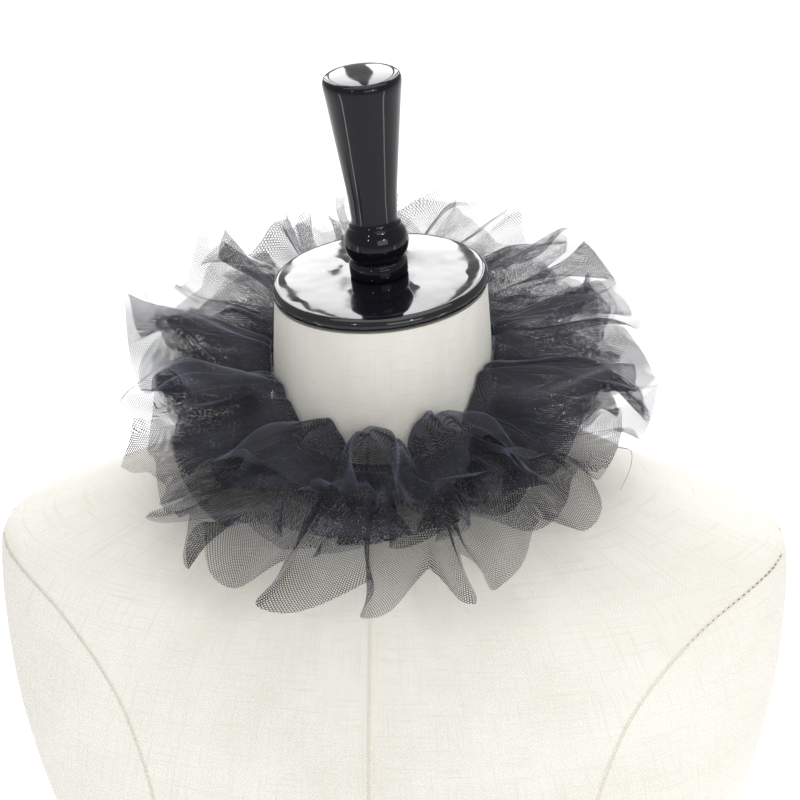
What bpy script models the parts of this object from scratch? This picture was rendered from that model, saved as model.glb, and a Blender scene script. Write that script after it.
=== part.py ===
"""A black net ruff collar on a limbless dress form.

Metres, +Z up. The form stands on Z = 0 with its front to -Y and its neck's axis on X = Y = 0.
Three gathered strips of net lie round the neck, one under the other, on a plane that is lower in front.
An azimuth runs round the neck in degrees: 0 is the front (-Y), 90 is +X, 180 the back, 270 is -X.
"""

import math

import bpy

# Dress form
NECK_TOP_Z = 0.636
NECK_TOP_RADIUS = 0.0527
NECK_FOOT_Z = 0.560
NECK_FOOT_RADIUS = 0.0572
NECK_RINGS_Z = (0.586, 0.600, 0.618, NECK_TOP_Z)
CAP_LEAN = math.radians(3.0)
CAP_RADIUS = 0.0537
CAP_THICKNESS = 0.0068
CAP_DOME = 0.0010
CAP_DOME_RADIUS = 0.020
CAP_SHOULDER_RISE = 0.0006
CAP_SHOULDER_RADIUS = 0.0445
RIM_STEPS = 8
FINIAL_FLAT_RADIUS = 0.009
FINIAL_HEIGHT = 0.103
BODY_SIDES = 48
TURNED_SIDES = 28

# Ruff
RING_Z = 0.587
RING_TILT = math.radians(20.0)
GAP = 0.0003
NECK_CLEARANCE = 0.0005
CLOTH_WALL = 0.0011
STEPS_PER_WAVE = 6
RINGS = 4
RING_CROWDING = 1.1
DROOP_SHARE = 0.45
ROOT_SWING_SHARE = 0.08
SWING_GROWTH = 1.25
SWAY_SHARE = 0.25
EDGE_SCALLOPS = 5
SCALLOP_SHARE = 0.035
LOOP_SHIFT = math.radians(10.0)

# Horizontal sections of the body, bottom to top, in millimetres: height, half width, reach to the front,
# reach to the back, and how square the outline is (2 is an ellipse).
BODY_SECTIONS = [
    {"z": 0.0, "half": 171, "front": 101, "back": 110, "square": 2.3},
    {"z": 5.0, "half": 177, "front": 107, "back": 116, "square": 2.3},
    {"z": 55.0, "half": 180, "front": 110, "back": 120, "square": 2.3},
    {"z": 110.0, "half": 171, "front": 108, "back": 110, "square": 2.3},
    {"z": 160.0, "half": 152, "front": 100, "back": 92, "square": 2.2},
    {"z": 195.0, "half": 141, "front": 95, "back": 82, "square": 2.2},
    {"z": 222.0, "half": 139, "front": 94, "back": 79, "square": 2.2},
    {"z": 255.0, "half": 146, "front": 99, "back": 81, "square": 2.2},
    {"z": 292.0, "half": 162, "front": 112, "back": 87, "square": 2.3},
    {"z": 327.0, "half": 177, "front": 127, "back": 93, "square": 2.4},
    {"z": 360.0, "half": 188, "front": 133, "back": 97, "square": 2.4},
    {"z": 392.0, "half": 196, "front": 129, "back": 100, "square": 2.4},
    {"z": 422.0, "half": 202, "front": 120, "back": 101, "square": 2.4},
    {"z": 462.0, "half": 205.5, "front": 106, "back": 99, "square": 2.3},
    {"z": 492.0, "half": 205.5, "front": 94, "back": 95, "square": 2.1},
    {"z": 501.0, "half": 203, "front": 90, "back": 92, "square": 2.0},
    {"z": 512.0, "half": 178, "front": 84, "back": 90, "square": 1.9},
    {"z": 525.0, "half": 144, "front": 76, "back": 87, "square": 1.9},
    {"z": 537.0, "half": 113, "front": 67, "back": 83, "square": 1.9},
    {"z": 549.0, "half": 82, "front": 60.0, "back": 77, "square": 2.0},
    {"z": 560.0, "half": 60.5, "front": 57.2, "back": 70, "square": 2.0},
    {"z": 572.0, "half": 56.6, "front": 56.2, "back": 62.5, "square": 2.0},
]

# Turned profile of the handle, foot to top: share of its height, and radius in millimetres.
FINIAL_PROFILE = [
    {"rise": 0.000, "radius": 13.6},
    {"rise": 0.012, "radius": 14.4},
    {"rise": 0.062, "radius": 14.4},
    {"rise": 0.078, "radius": 13.0},
    {"rise": 0.092, "radius": 13.2},
    {"rise": 0.125, "radius": 15.2},
    {"rise": 0.170, "radius": 15.9},
    {"rise": 0.215, "radius": 15.0},
    {"rise": 0.255, "radius": 12.6},
    {"rise": 0.285, "radius": 11.2},
    {"rise": 0.400, "radius": 12.1},
    {"rise": 0.650, "radius": 15.2},
    {"rise": 0.900, "radius": 18.3},
    {"rise": 0.955, "radius": 19.0},
    {"rise": 0.985, "radius": 18.6},
    {"rise": 0.995, "radius": 15.0},
]

# The three strips. lift is the height of the strip's root above the ring's plane, in millimetres.
# loops and loop_rise are the big standing loops of the top strip; waves and wave_swing the ruffle's own.
RUFFLES = [
    {
        "name": "ruffle_top",
        "lift": 3.4,
        "waves": 32,
        "wave_swing": 6.0,
        "loops": 12,
        "loop_rise": 19.0,
        "phase": 0.6,
    },
    {
        "name": "ruffle_middle",
        "lift": 0.0,
        "waves": 32,
        "wave_swing": 8.0,
        "loops": 0,
        "loop_rise": 0.0,
        "phase": 2.1,
    },
    {
        "name": "ruffle_under",
        "lift": -3.4,
        "waves": 32,
        "wave_swing": 8.0,
        "loops": 0,
        "loop_rise": 0.0,
        "phase": 4.0,
    },
]

# How far each strip reaches from the neck (millimetres) and how steeply its edge lies below the level
# (degrees, negative is down), at eight azimuths from the front round by +X.
RUFFLE_LIES = {
    "ruffle_top": [
        {"azimuth": 0, "reach": 60, "slope": 4},
        {"azimuth": 45, "reach": 66, "slope": 7},
        {"azimuth": 90, "reach": 76, "slope": 13},
        {"azimuth": 135, "reach": 76, "slope": 15},
        {"azimuth": 180, "reach": 78, "slope": 15},
        {"azimuth": 225, "reach": 72, "slope": 15},
        {"azimuth": 270, "reach": 72, "slope": 12},
        {"azimuth": 315, "reach": 64, "slope": 6},
    ],
    "ruffle_middle": [
        {"azimuth": 0, "reach": 68, "slope": -9},
        {"azimuth": 45, "reach": 74, "slope": -6},
        {"azimuth": 90, "reach": 82, "slope": 1},
        {"azimuth": 135, "reach": 76, "slope": 3},
        {"azimuth": 180, "reach": 74, "slope": 3},
        {"azimuth": 225, "reach": 73, "slope": 3},
        {"azimuth": 270, "reach": 73, "slope": 1},
        {"azimuth": 315, "reach": 69, "slope": -6},
    ],
    "ruffle_under": [
        {"azimuth": 0, "reach": 75, "slope": -22},
        {"azimuth": 45, "reach": 76, "slope": -18},
        {"azimuth": 90, "reach": 72, "slope": -11},
        {"azimuth": 135, "reach": 67, "slope": -9},
        {"azimuth": 180, "reach": 65, "slope": -9},
        {"azimuth": 225, "reach": 66, "slope": -9},
        {"azimuth": 270, "reach": 67, "slope": -10},
        {"azimuth": 315, "reach": 71, "slope": -20},
    ],
}


def clear_scene():
    for item in list(bpy.data.objects):
        bpy.data.objects.remove(item, do_unlink=True)


def make_material(name, color, roughness, metallic=0.0):
    material = bpy.data.materials.new(name)
    material.use_nodes = True
    shader = material.node_tree.nodes["Principled BSDF"]
    shader.inputs["Base Color"].default_value = (*color, 1.0)
    shader.inputs["Roughness"].default_value = roughness
    shader.inputs["Metallic"].default_value = metallic
    return material


def make_object(name, points, faces, material):
    mesh = bpy.data.meshes.new(name)
    mesh.from_pydata(points, [], faces)
    mesh.update()
    made = bpy.data.objects.new(name, mesh)
    made.data.materials.append(material)
    bpy.context.scene.collection.objects.link(made)
    return made


def ring_faces(rings, sides):
    """Quads between each ring of points and the next, for rings that close on themselves."""
    faces = []
    for row in range(rings - 1):
        for side in range(sides):
            after = (side + 1) % sides
            low = row * sides
            high = low + sides
            faces.append((low + side, low + after, high + after, high + side))
    return faces


def smooth(made, degrees=40):
    made.data.shade_smooth()
    made.data.set_sharp_from_angle(angle=math.radians(degrees))


def neck_radius(z):
    """The neck is a straight cone from its foot to its cap."""
    share = (z - NECK_FOOT_Z) / (NECK_TOP_Z - NECK_FOOT_Z)
    return NECK_FOOT_RADIUS + share * (NECK_TOP_RADIUS - NECK_FOOT_RADIUS)


def section_points(half, front, back, square, z):
    """One horizontal section as a superellipse with its own front and back reach."""
    points = []
    for side in range(BODY_SIDES):
        turn = 2 * math.pi * side / BODY_SIDES
        across = math.cos(turn)
        along = math.sin(turn)
        x = half * math.copysign(abs(across) ** (2 / square), across)
        depth = back if along > 0 else front
        y = depth * math.copysign(abs(along) ** (2 / square), along)
        points.append((x, y, z))
    return points


def build_body(material):
    points = []
    for row in BODY_SECTIONS:
        sizes = [row[key] / 1000 for key in ("half", "front", "back")]
        points += section_points(*sizes, row["square"], row["z"] / 1000)
    for z in NECK_RINGS_Z:
        radius = neck_radius(z)
        ring = section_points(radius, radius, radius, 2.0, z)
        if z == NECK_TOP_Z:
            ring = [(x, y, z + x * math.tan(CAP_LEAN)) for x, y, z in ring]
        points += ring
    rings = len(points) // BODY_SIDES
    faces = ring_faces(rings, BODY_SIDES)
    faces.append(tuple(reversed(range(BODY_SIDES))))
    faces.append(tuple(range((rings - 1) * BODY_SIDES, rings * BODY_SIDES)))
    body = make_object("form_body", points, faces, material)
    smooth(body)
    return body


def turned(name, profile, material):
    """A closed turned piece from (radius, height) pairs, foot to top, with flat ends."""
    points = []
    for radius, height in profile:
        for side in range(TURNED_SIDES):
            turn = 2 * math.pi * side / TURNED_SIDES
            points.append((radius * math.cos(turn), radius * math.sin(turn), height))
    faces = ring_faces(len(profile), TURNED_SIDES)
    faces.append(tuple(reversed(range(TURNED_SIDES))))
    faces.append(tuple(range(len(points) - TURNED_SIDES, len(points))))
    made = make_object(name, points, faces, material)
    smooth(made)
    return made


def build_cap(material):
    """A disc with a rounded rim that leans with the neck's cut top, and the handle standing on it."""
    edge = CAP_THICKNESS / 2
    profile = [(CAP_RADIUS - edge, 0.0)]
    for step in range(1, RIM_STEPS):
        turn = math.pi * (step / RIM_STEPS - 0.5)
        reach = CAP_RADIUS - edge * (1 - math.cos(turn))
        profile.append((reach, edge + edge * math.sin(turn)))
    profile.append((CAP_RADIUS - edge, CAP_THICKNESS))
    profile.append((CAP_SHOULDER_RADIUS, CAP_THICKNESS + CAP_SHOULDER_RISE))
    profile.append((CAP_DOME_RADIUS, CAP_THICKNESS + CAP_DOME))
    seat = bpy.data.objects.new("cap_seat", None)
    bpy.context.scene.collection.objects.link(seat)
    seat.location = (0.0, 0.0, NECK_TOP_Z)
    seat.rotation_euler = (0.0, -CAP_LEAN, 0.0)
    cap = turned("neck_cap", profile, material)
    cap.parent = seat
    cap.location = (0.0, 0.0, GAP)
    outline = [
        (row["radius"] / 1000, row["rise"] * FINIAL_HEIGHT) for row in FINIAL_PROFILE
    ]
    outline.append((FINIAL_FLAT_RADIUS, FINIAL_HEIGHT))
    finial = turned("cap_finial", outline, material)
    finial.parent = seat
    finial.location = (0.0, 0.0, GAP + CAP_THICKNESS + CAP_DOME + GAP)
    return cap, finial


def lie_at(name, azimuth):
    """The strip's reach (metres) and slope (radians) at an azimuth, eased between the table's rows."""
    rows = RUFFLE_LIES[name]
    step = 360 / len(rows)
    place = (azimuth % 360) / step
    first = rows[int(place) % len(rows)]
    second = rows[(int(place) + 1) % len(rows)]
    share = 0.5 - 0.5 * math.cos(math.pi * (place - int(place)))
    reach = first["reach"] + share * (second["reach"] - first["reach"])
    slope = first["slope"] + share * (second["slope"] - first["slope"])
    return reach / 1000, math.radians(slope)


def uneven(turn, phase):
    """Shifts an angle a little back and forth, so that no two waves are the same width."""
    slow_shift = 0.045 * math.sin(3 * turn + phase)
    quick_shift = 0.022 * math.sin(7 * turn - 2 * phase)
    return turn + slow_shift + quick_shift


def loop_height(out):
    """A standing loop's share of its full height: most of it at the neck, fullest a little out, low at the edge."""
    return 0.76 + 0.90 * out - 1.18 * out**2


def ruffle_point(ruffle, turn, out):
    """A point of the strip's middle surface. turn is the azimuth in radians, out runs 0 to 1 from neck to edge."""
    reach, slope = lie_at(ruffle["name"], math.degrees(turn))
    flow = uneven(turn, ruffle["phase"])
    wave_turn = ruffle["waves"] * flow + ruffle["phase"]
    scallop = 1 + SCALLOP_SHARE * out * math.sin(EDGE_SCALLOPS * turn + ruffle["phase"])
    plane_z = RING_Z - NECK_FOOT_RADIUS * math.tan(RING_TILT) * math.cos(turn)
    root_z = plane_z + ruffle["lift"] / 1000
    root = neck_radius(root_z) + NECK_CLEARANCE + CLOTH_WALL / 2
    radius = root + reach * scallop * out
    droop = (1 - DROOP_SHARE) * out + DROOP_SHARE * out**2
    swing_share = ROOT_SWING_SHARE + (1 - ROOT_SWING_SHARE) * out**SWING_GROWTH
    swing = ruffle["wave_swing"] / 1000 * swing_share
    height = root_z + reach * math.tan(slope) * droop + swing * math.cos(wave_turn)
    loop = 0.5 - 0.5 * math.cos(ruffle["loops"] * (flow + LOOP_SHIFT))
    height += ruffle["loop_rise"] / 1000 * loop * loop_height(out)
    turn += SWAY_SHARE * swing * math.sin(2 * wave_turn) / radius
    return (radius * math.sin(turn), -radius * math.cos(turn), height)


def build_ruffle(ruffle, material):
    sides = ruffle["waves"] * STEPS_PER_WAVE
    points = []
    for row in range(RINGS + 1):
        out = (row / RINGS) ** RING_CROWDING
        for side in range(sides):
            points.append(ruffle_point(ruffle, 2 * math.pi * side / sides, out))
    made = make_object(ruffle["name"], points, ring_faces(RINGS + 1, sides), material)
    wall = made.modifiers.new("cloth wall", "SOLIDIFY")
    wall.thickness = CLOTH_WALL
    wall.offset = 0.0
    wall.use_even_offset = True
    smooth(made, 60)
    return made


def main():
    clear_scene()
    linen = make_material("undyed linen", (0.86, 0.85, 0.81), 0.9)
    lacquer = make_material("black lacquer", (0.012, 0.012, 0.016), 0.12)
    net = make_material("black net", (0.022, 0.022, 0.028), 0.75)
    build_body(linen)
    build_cap(lacquer)
    for ruffle in RUFFLES:
        build_ruffle(ruffle, net)


main()
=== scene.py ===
import math

import bmesh
import bpy
import numpy as np
from mathutils import Matrix, Vector


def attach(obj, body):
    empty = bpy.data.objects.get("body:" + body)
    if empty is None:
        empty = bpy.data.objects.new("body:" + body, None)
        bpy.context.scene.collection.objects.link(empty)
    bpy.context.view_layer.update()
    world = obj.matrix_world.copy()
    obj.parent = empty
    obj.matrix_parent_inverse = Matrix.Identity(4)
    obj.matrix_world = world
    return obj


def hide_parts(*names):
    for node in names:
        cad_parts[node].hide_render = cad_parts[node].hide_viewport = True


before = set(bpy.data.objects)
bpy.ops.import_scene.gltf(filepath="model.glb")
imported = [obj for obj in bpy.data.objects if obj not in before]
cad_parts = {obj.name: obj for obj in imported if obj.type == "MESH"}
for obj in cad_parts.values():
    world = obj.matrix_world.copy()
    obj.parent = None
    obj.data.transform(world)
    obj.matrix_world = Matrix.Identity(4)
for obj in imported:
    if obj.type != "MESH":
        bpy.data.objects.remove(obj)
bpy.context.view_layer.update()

# Where the camera stands: it looks down on the front of the form, a little from the +X side.
cameraView = {
    "azimuth": math.radians(6.5),
    "elevation": math.radians(27.5),
    "distance": 1.25,
    "roll": math.radians(-1.8),
    "target": Vector((0.0078, 0.0, 0.5736)),
    "focalPixels": 2480.0,  # for a picture 800 pixels wide
    "pictureWidth": 800.0,
    "sensorWidth": 36.0,
}


def deselectAll():
    if bpy.context.mode != "OBJECT":
        bpy.ops.object.mode_set(mode="OBJECT")
    bpy.ops.object.select_all(action="DESELECT")


def activate(piece):
    deselectAll()
    piece.select_set(True)
    bpy.context.view_layer.objects.active = piece


def newPiece(name, points, faces, material):
    # a smooth mesh of these points and faces, in the scene
    mesh = bpy.data.meshes.new(name)
    mesh.from_pydata(points, [], faces)
    mesh.materials.append(material)
    mesh.shade_smooth()
    piece = bpy.data.objects.new(name, mesh)
    bpy.context.scene.collection.objects.link(piece)
    return piece


def tubeFaces(first, rings, sides):
    # faces between rings of points that follow each other, and one across each end
    faces = []
    for low in range(first, first + (rings - 1) * sides, sides):
        for corner in range(sides):
            after = (corner + 1) % sides
            faces.append((low + corner, low + after, low + sides + after, low + sides + corner))
    faces.append(tuple(range(first + sides - 1, first - 1, -1)))
    faces.append(tuple(range(first + (rings - 1) * sides, first + rings * sides)))
    return faces


def addCamera(view):
    az = view["azimuth"]
    el = view["elevation"]
    forward = Vector((-math.sin(az) * math.cos(el), math.cos(az) * math.cos(el), -math.sin(el)))
    level = Vector((math.cos(az), math.sin(az), 0.0))
    upward = level.cross(forward)
    right = math.cos(view["roll"]) * level + math.sin(view["roll"]) * upward
    above = math.cos(view["roll"]) * upward - math.sin(view["roll"]) * level
    deselectAll()
    bpy.ops.object.camera_add(location=view["target"] - view["distance"] * forward)
    camera = bpy.context.object
    camera.name = "studioCamera"
    turned = Matrix((right, above, -forward)).transposed()
    camera.rotation_euler = turned.to_euler()
    camera.data.sensor_width = view["sensorWidth"]
    camera.data.lens = view["sensorWidth"] * view["focalPixels"] / view["pictureWidth"]
    bpy.context.scene.camera = camera


addCamera(cameraView)
print("camera placed")


# Materials. Each is a small node tree on Object coordinates, a UV map or an attribute of the piece.
def newMaterial(name):
    material = bpy.data.materials.new(name)
    material.use_nodes = True
    tree = material.node_tree
    return material, tree, tree.nodes["Principled BSDF"]


def setSockets(node, values):
    for socket, value in values.items():
        node.inputs[socket].default_value = value


def mathNode(tree, operation, first, second=None):
    node = tree.nodes.new("ShaderNodeMath")
    node.operation = operation
    for place, value in enumerate((first, second)):
        if value is None:
            continue
        if isinstance(value, (int, float)):
            node.inputs[place].default_value = value
        else:
            tree.links.new(value, node.inputs[place])
    return node.outputs[0]


def rangeNode(tree, value, fromLow, fromHigh, toLow, toHigh):
    node = tree.nodes.new("ShaderNodeMapRange")
    setSockets(node, {"From Min": fromLow, "From Max": fromHigh, "To Min": toLow, "To Max": toHigh})
    tree.links.new(value, node.inputs["Value"])
    return node.outputs["Result"]


def noiseNode(tree, vector, scale, detail=2.0, roughness=0.5):
    node = tree.nodes.new("ShaderNodeTexNoise")
    setSockets(node, {"Scale": scale, "Detail": detail, "Roughness": roughness})
    tree.links.new(vector, node.inputs["Vector"])
    return node.outputs["Fac"]


def stretched(tree, vector, scale):
    node = tree.nodes.new("ShaderNodeMapping")
    node.inputs["Scale"].default_value = scale
    tree.links.new(vector, node.inputs["Vector"])
    return node.outputs["Vector"]


def mixColour(tree, share, first, second):
    node = tree.nodes.new("ShaderNodeMix")
    node.data_type = "RGBA"
    tree.links.new(share, node.inputs["Factor"])
    for place, colour in (("A", first), ("B", second)):
        socket = [s for s in node.inputs if s.name == place and s.type == "RGBA"][0]
        if isinstance(colour, tuple):
            socket.default_value = (*colour, 1.0)
        else:
            tree.links.new(colour, socket)
    return [s for s in node.outputs if s.type == "RGBA"][0]


def bumpNode(tree, height, strength, distance, before=None):
    node = tree.nodes.new("ShaderNodeBump")
    setSockets(node, {"Strength": strength, "Distance": distance})
    tree.links.new(height, node.inputs["Height"])
    if before is not None:
        tree.links.new(before, node.inputs["Normal"])
    return node.outputs["Normal"]


def mapSplit(tree):
    # the cloth's own map, whole and as its two ways
    cloth = tree.nodes.new("ShaderNodeUVMap")
    cloth.uv_map = "clothMap"
    split = tree.nodes.new("ShaderNodeSeparateXYZ")
    tree.links.new(cloth.outputs["UV"], split.inputs[0])
    return cloth.outputs["UV"], split.outputs[0], split.outputs[1]


linen = {
    "ground": (0.88, 0.865, 0.805),
    "slub": (0.62, 0.585, 0.50),
    "fade": (0.71, 0.68, 0.60),
    "slubShare": 0.50,
    "blotchShare": 0.60,
    "weaveShare": 0.42,
    "blotchScale": 11.0,
    "threadPitch": 0.0014,
    "weaveDepth": 0.00020,
    "roughness": 0.92,
    "sheen": 0.15,
}


def linenMaterial(name, settings):
    material, tree, shader = newMaterial(name)
    place, warpWay, weftWay = mapSplit(tree)
    turns = 2 * math.pi / settings["threadPitch"]
    warp = mathNode(tree, "SINE", mathNode(tree, "MULTIPLY", warpWay, turns))
    weft = mathNode(tree, "SINE", mathNode(tree, "MULTIPLY", weftWay, turns))
    weave = mathNode(tree, "MULTIPLY", warp, weft)
    # slubs are thick stretches of single threads, long one way and thin the other
    across = noiseNode(tree, stretched(tree, place, (30, 900, 1)), 1.0, 3.0)
    along = noiseNode(tree, stretched(tree, place, (900, 30, 1)), 1.0, 3.0)
    slubs = mathNode(tree, "MAXIMUM", across, along)
    slubShare = rangeNode(tree, slubs, 0.54, 0.80, 0.0, settings["slubShare"])
    colour = mixColour(tree, slubShare, settings["ground"], settings["slub"])
    blotch = noiseNode(tree, place, settings["blotchScale"], 4.0, 0.6)
    blotchShare = rangeNode(tree, blotch, 0.40, 0.72, 0.0, settings["blotchShare"])
    colour = mixColour(tree, blotchShare, colour, settings["fade"])
    weaveShare = rangeNode(tree, weave, -1.0, 1.0, 0.0, settings["weaveShare"])
    colour = mixColour(tree, weaveShare, colour, settings["fade"])
    tree.links.new(colour, shader.inputs["Base Color"])
    setSockets(shader, {"Roughness": settings["roughness"], "Sheen Weight": settings["sheen"]})
    fine = bumpNode(tree, weave, 0.5, settings["weaveDepth"])
    rough = bumpNode(tree, slubs, 0.35, settings["weaveDepth"] * 3, fine)
    tree.links.new(rough, shader.inputs["Normal"])
    return material


# The disc mirrors more than the handle, and its coat is wavier.
discLacquer = {
    "body": (0.006, 0.006, 0.009),
    "worn": (0.022, 0.024, 0.032),
    "roughness": (0.03, 0.16),
    "ior": 1.50,
    "dust": 0.7,
    "swellScale": 30.0,
    "waviness": 0.0019,
}
handleLacquer = {
    "body": (0.004, 0.004, 0.007),
    "worn": (0.016, 0.017, 0.026),
    "roughness": (0.02, 0.08),
    "ior": 1.34,
    "dust": 0.7,
    "swellScale": 40.0,
    "waviness": 0.00025,
}


def lacquerMaterial(name, settings):
    material, tree, shader = newMaterial(name)
    place = tree.nodes.new("ShaderNodeTexCoord").outputs["Object"]
    cloud = noiseNode(tree, place, 42.0, 5.0, 0.62)
    haze = rangeNode(tree, cloud, 0.40, 0.70, *settings["roughness"])
    tree.links.new(haze, shader.inputs["Roughness"])
    dust = noiseNode(tree, place, 900.0, 2.0)
    dustShare = rangeNode(tree, dust, 0.66, 0.80, 0.0, settings["dust"])
    coat = mixColour(tree, dustShare, settings["body"], settings["worn"])
    tree.links.new(coat, shader.inputs["Base Color"])
    shader.inputs["IOR"].default_value = settings["ior"]
    swell = noiseNode(tree, place, settings["swellScale"], 2.0)
    tree.links.new(bumpNode(tree, swell, 0.5, settings["waviness"]), shader.inputs["Normal"])
    return material


# A hexagonal net: three sets of ridges at 60 degrees add up to round holes, and a threshold cuts the
# threads out of them.
net = {
    "pitch": 0.00102,
    "ways": (106, 46, 166),  # degrees from the strip's length
    "thread": (0.0085, 0.0088, 0.0125),
    "threadPale": (0.028, 0.030, 0.050),
    "softness": 0.16,
    "roughness": 0.64,
    "sheen": 0.52,
    "sheenRoughness": 0.35,
    "sheenTint": (0.62, 0.67, 0.92),
    "threadDepth": 0.00008,
}
# share of the net that is thread, and the threshold that gives it
coverTable = {
    "cover": [0.05, 0.125, 0.25, 0.32, 0.369, 0.444, 0.505, 0.601, 0.696, 0.774, 0.841, 0.899, 1.0],
    "threshold": [-1.4, -1.2, -1.0, -0.9, -0.8, -0.6, -0.4, 0.0, 0.5, 1.0, 1.5, 2.0, 3.4],
}


def netMaterial(name, settings):
    material, tree, shader = newMaterial(name)
    _, u, v = mapSplit(tree)
    waveNumber = 4 * math.pi / math.sqrt(3) / settings["pitch"]
    ridges = None
    for degrees in settings["ways"]:
        x = waveNumber * math.cos(math.radians(degrees))
        y = waveNumber * math.sin(math.radians(degrees))
        way = mathNode(tree, "MULTIPLY", u, x)
        way = mathNode(tree, "ADD", way, mathNode(tree, "MULTIPLY", v, y))
        ridge = mathNode(tree, "COSINE", way)
        ridges = ridge if ridges is None else mathNode(tree, "ADD", ridges, ridge)
    threshold = tree.nodes.new("ShaderNodeAttribute")
    threshold.attribute_name = "netThreshold"
    depth = mathNode(tree, "SUBTRACT", threshold.outputs["Fac"], ridges)
    soft = settings["softness"]
    alpha = rangeNode(tree, depth, -soft, soft, 0.0, 1.0)
    tree.links.new(alpha, shader.inputs["Alpha"])
    tone = noiseNode(tree, tree.nodes.new("ShaderNodeTexCoord").outputs["Object"], 60.0, 3.0)
    toneShare = rangeNode(tree, tone, 0.40, 0.72, 0.0, 0.7)
    colour = mixColour(tree, toneShare, settings["thread"], settings["threadPale"])
    tree.links.new(colour, shader.inputs["Base Color"])
    setSockets(shader, {
        "Roughness": settings["roughness"],
        "Sheen Weight": settings["sheen"],
        "Sheen Roughness": settings["sheenRoughness"],
        "Sheen Tint": (*settings["sheenTint"], 1.0),
    })
    tree.links.new(bumpNode(tree, depth, 0.3, settings["threadDepth"]), shader.inputs["Normal"])
    return material


def plainMaterial(name, colour, roughness, noiseScale=400.0, glow=0.0):
    material, tree, shader = newMaterial(name)
    place = tree.nodes.new("ShaderNodeTexCoord").outputs["Object"]
    speck = noiseNode(tree, place, noiseScale, 2.0)
    darker = tuple((0.98 if glow else 0.82) * c for c in colour)
    white = (1.0, 1.0, 1.0, 1.0)
    setSockets(shader, {"Roughness": roughness, "Emission Color": white, "Emission Strength": glow})
    tree.links.new(mixColour(tree, speck, colour, darker), shader.inputs["Base Color"])
    return material


linenCloth = linenMaterial("creamLinen", linen)
pressedLinen = {**linen, "ground": (0.82, 0.795, 0.70), "fade": (0.74, 0.70, 0.58)}
seamCloth = linenMaterial("pressedSeam", pressedLinen)
stitchThread = plainMaterial("stitchThread", (0.24, 0.16, 0.10), 0.8)
looseThread = plainMaterial("looseThread", (0.018, 0.018, 0.024), 0.6)
blackDisc = lacquerMaterial("blackLacquerDisc", discLacquer)
blackHandle = lacquerMaterial("blackLacquerHandle", handleLacquer)
blackNet = netMaterial("blackNet", net)
print("materials made")

# The form's linen cover: the CAD body's own mesh, merged, and rounded by subdivision.
coverSettings = {
    "levels": 2,
    "topHeight": 0.630,  # rings above this and below the next keep their sharp edge
    "footHeight": 0.001,
    "mergeWithin": 0.00005,
    "sharpFrom": math.radians(50),
    "mapRadius": 0.150,
}


def makeBodyCover(settings):
    cover = bpy.data.objects.new("formCover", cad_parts["form_body"].data.copy())
    bpy.context.scene.collection.objects.link(cover)
    activate(cover)
    cover.data.materials.clear()
    bpy.ops.object.mode_set(mode="EDIT")
    bpy.ops.mesh.select_all(action="SELECT")
    bpy.ops.mesh.remove_doubles(threshold=settings["mergeWithin"])
    sharpFrom = settings["sharpFrom"]
    bpy.ops.mesh.tris_convert_to_quads(face_threshold=sharpFrom, shape_threshold=sharpFrom)
    bpy.ops.object.mode_set(mode="OBJECT")
    shape = bmesh.new()
    shape.from_mesh(cover.data)
    crease = shape.edges.layers.float.new("crease_edge")
    for edge in shape.edges:
        faces = [face.normal for face in edge.link_faces]
        sharp = len(faces) == 2 and faces[0].angle(faces[1], 0.0) > sharpFrom
        heights = [vertex.co.z for vertex in edge.verts]
        if sharp and (min(heights) > settings["topHeight"] or max(heights) < settings["footHeight"]):
            edge[crease] = 1.0
    shape.to_mesh(cover.data)
    shape.free()
    for attribute in ("sharp_edge", "sharp_face", "custom_normal"):
        found = cover.data.attributes.get(attribute)
        if found is not None:
            cover.data.attributes.remove(found)
    rounding = cover.modifiers.new("rounding", "SUBSURF")
    rounding.levels = settings["levels"]
    bpy.ops.object.modifier_apply(modifier=rounding.name)
    bpy.ops.object.shade_smooth_by_angle(angle=sharpFrom)
    cover.data.materials.append(linenCloth)
    return cover


def mapRoundTheForm(piece, radius):
    # the cloth's own map: metres round the body and metres up it, split at the back
    while piece.data.uv_layers:
        piece.data.uv_layers.remove(piece.data.uv_layers[0])
    layer = piece.data.uv_layers.new(name="clothMap")
    points = [vertex.co for vertex in piece.data.vertices]
    for polygon in piece.data.polygons:
        middle = polygon.center
        flat = abs(polygon.normal.z) > 0.97
        for loop in polygon.loop_indices:
            point = points[piece.data.loops[loop].vertex_index]
            if flat:
                layer.data[loop].uv = (point.x, point.y)
                continue
            turn = math.atan2(point.x, -point.y)
            if middle.y > 0 and turn * middle.x < 0:
                turn += 2 * math.pi if middle.x > 0 else -2 * math.pi
            layer.data[loop].uv = (turn * radius, point.z)


bodyCover = makeBodyCover(coverSettings)
mapRoundTheForm(bodyCover, coverSettings["mapRadius"])
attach(bodyCover, "root")
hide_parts("form_body")
print("form cover made,", len(bodyCover.data.polygons), "faces")

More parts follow.
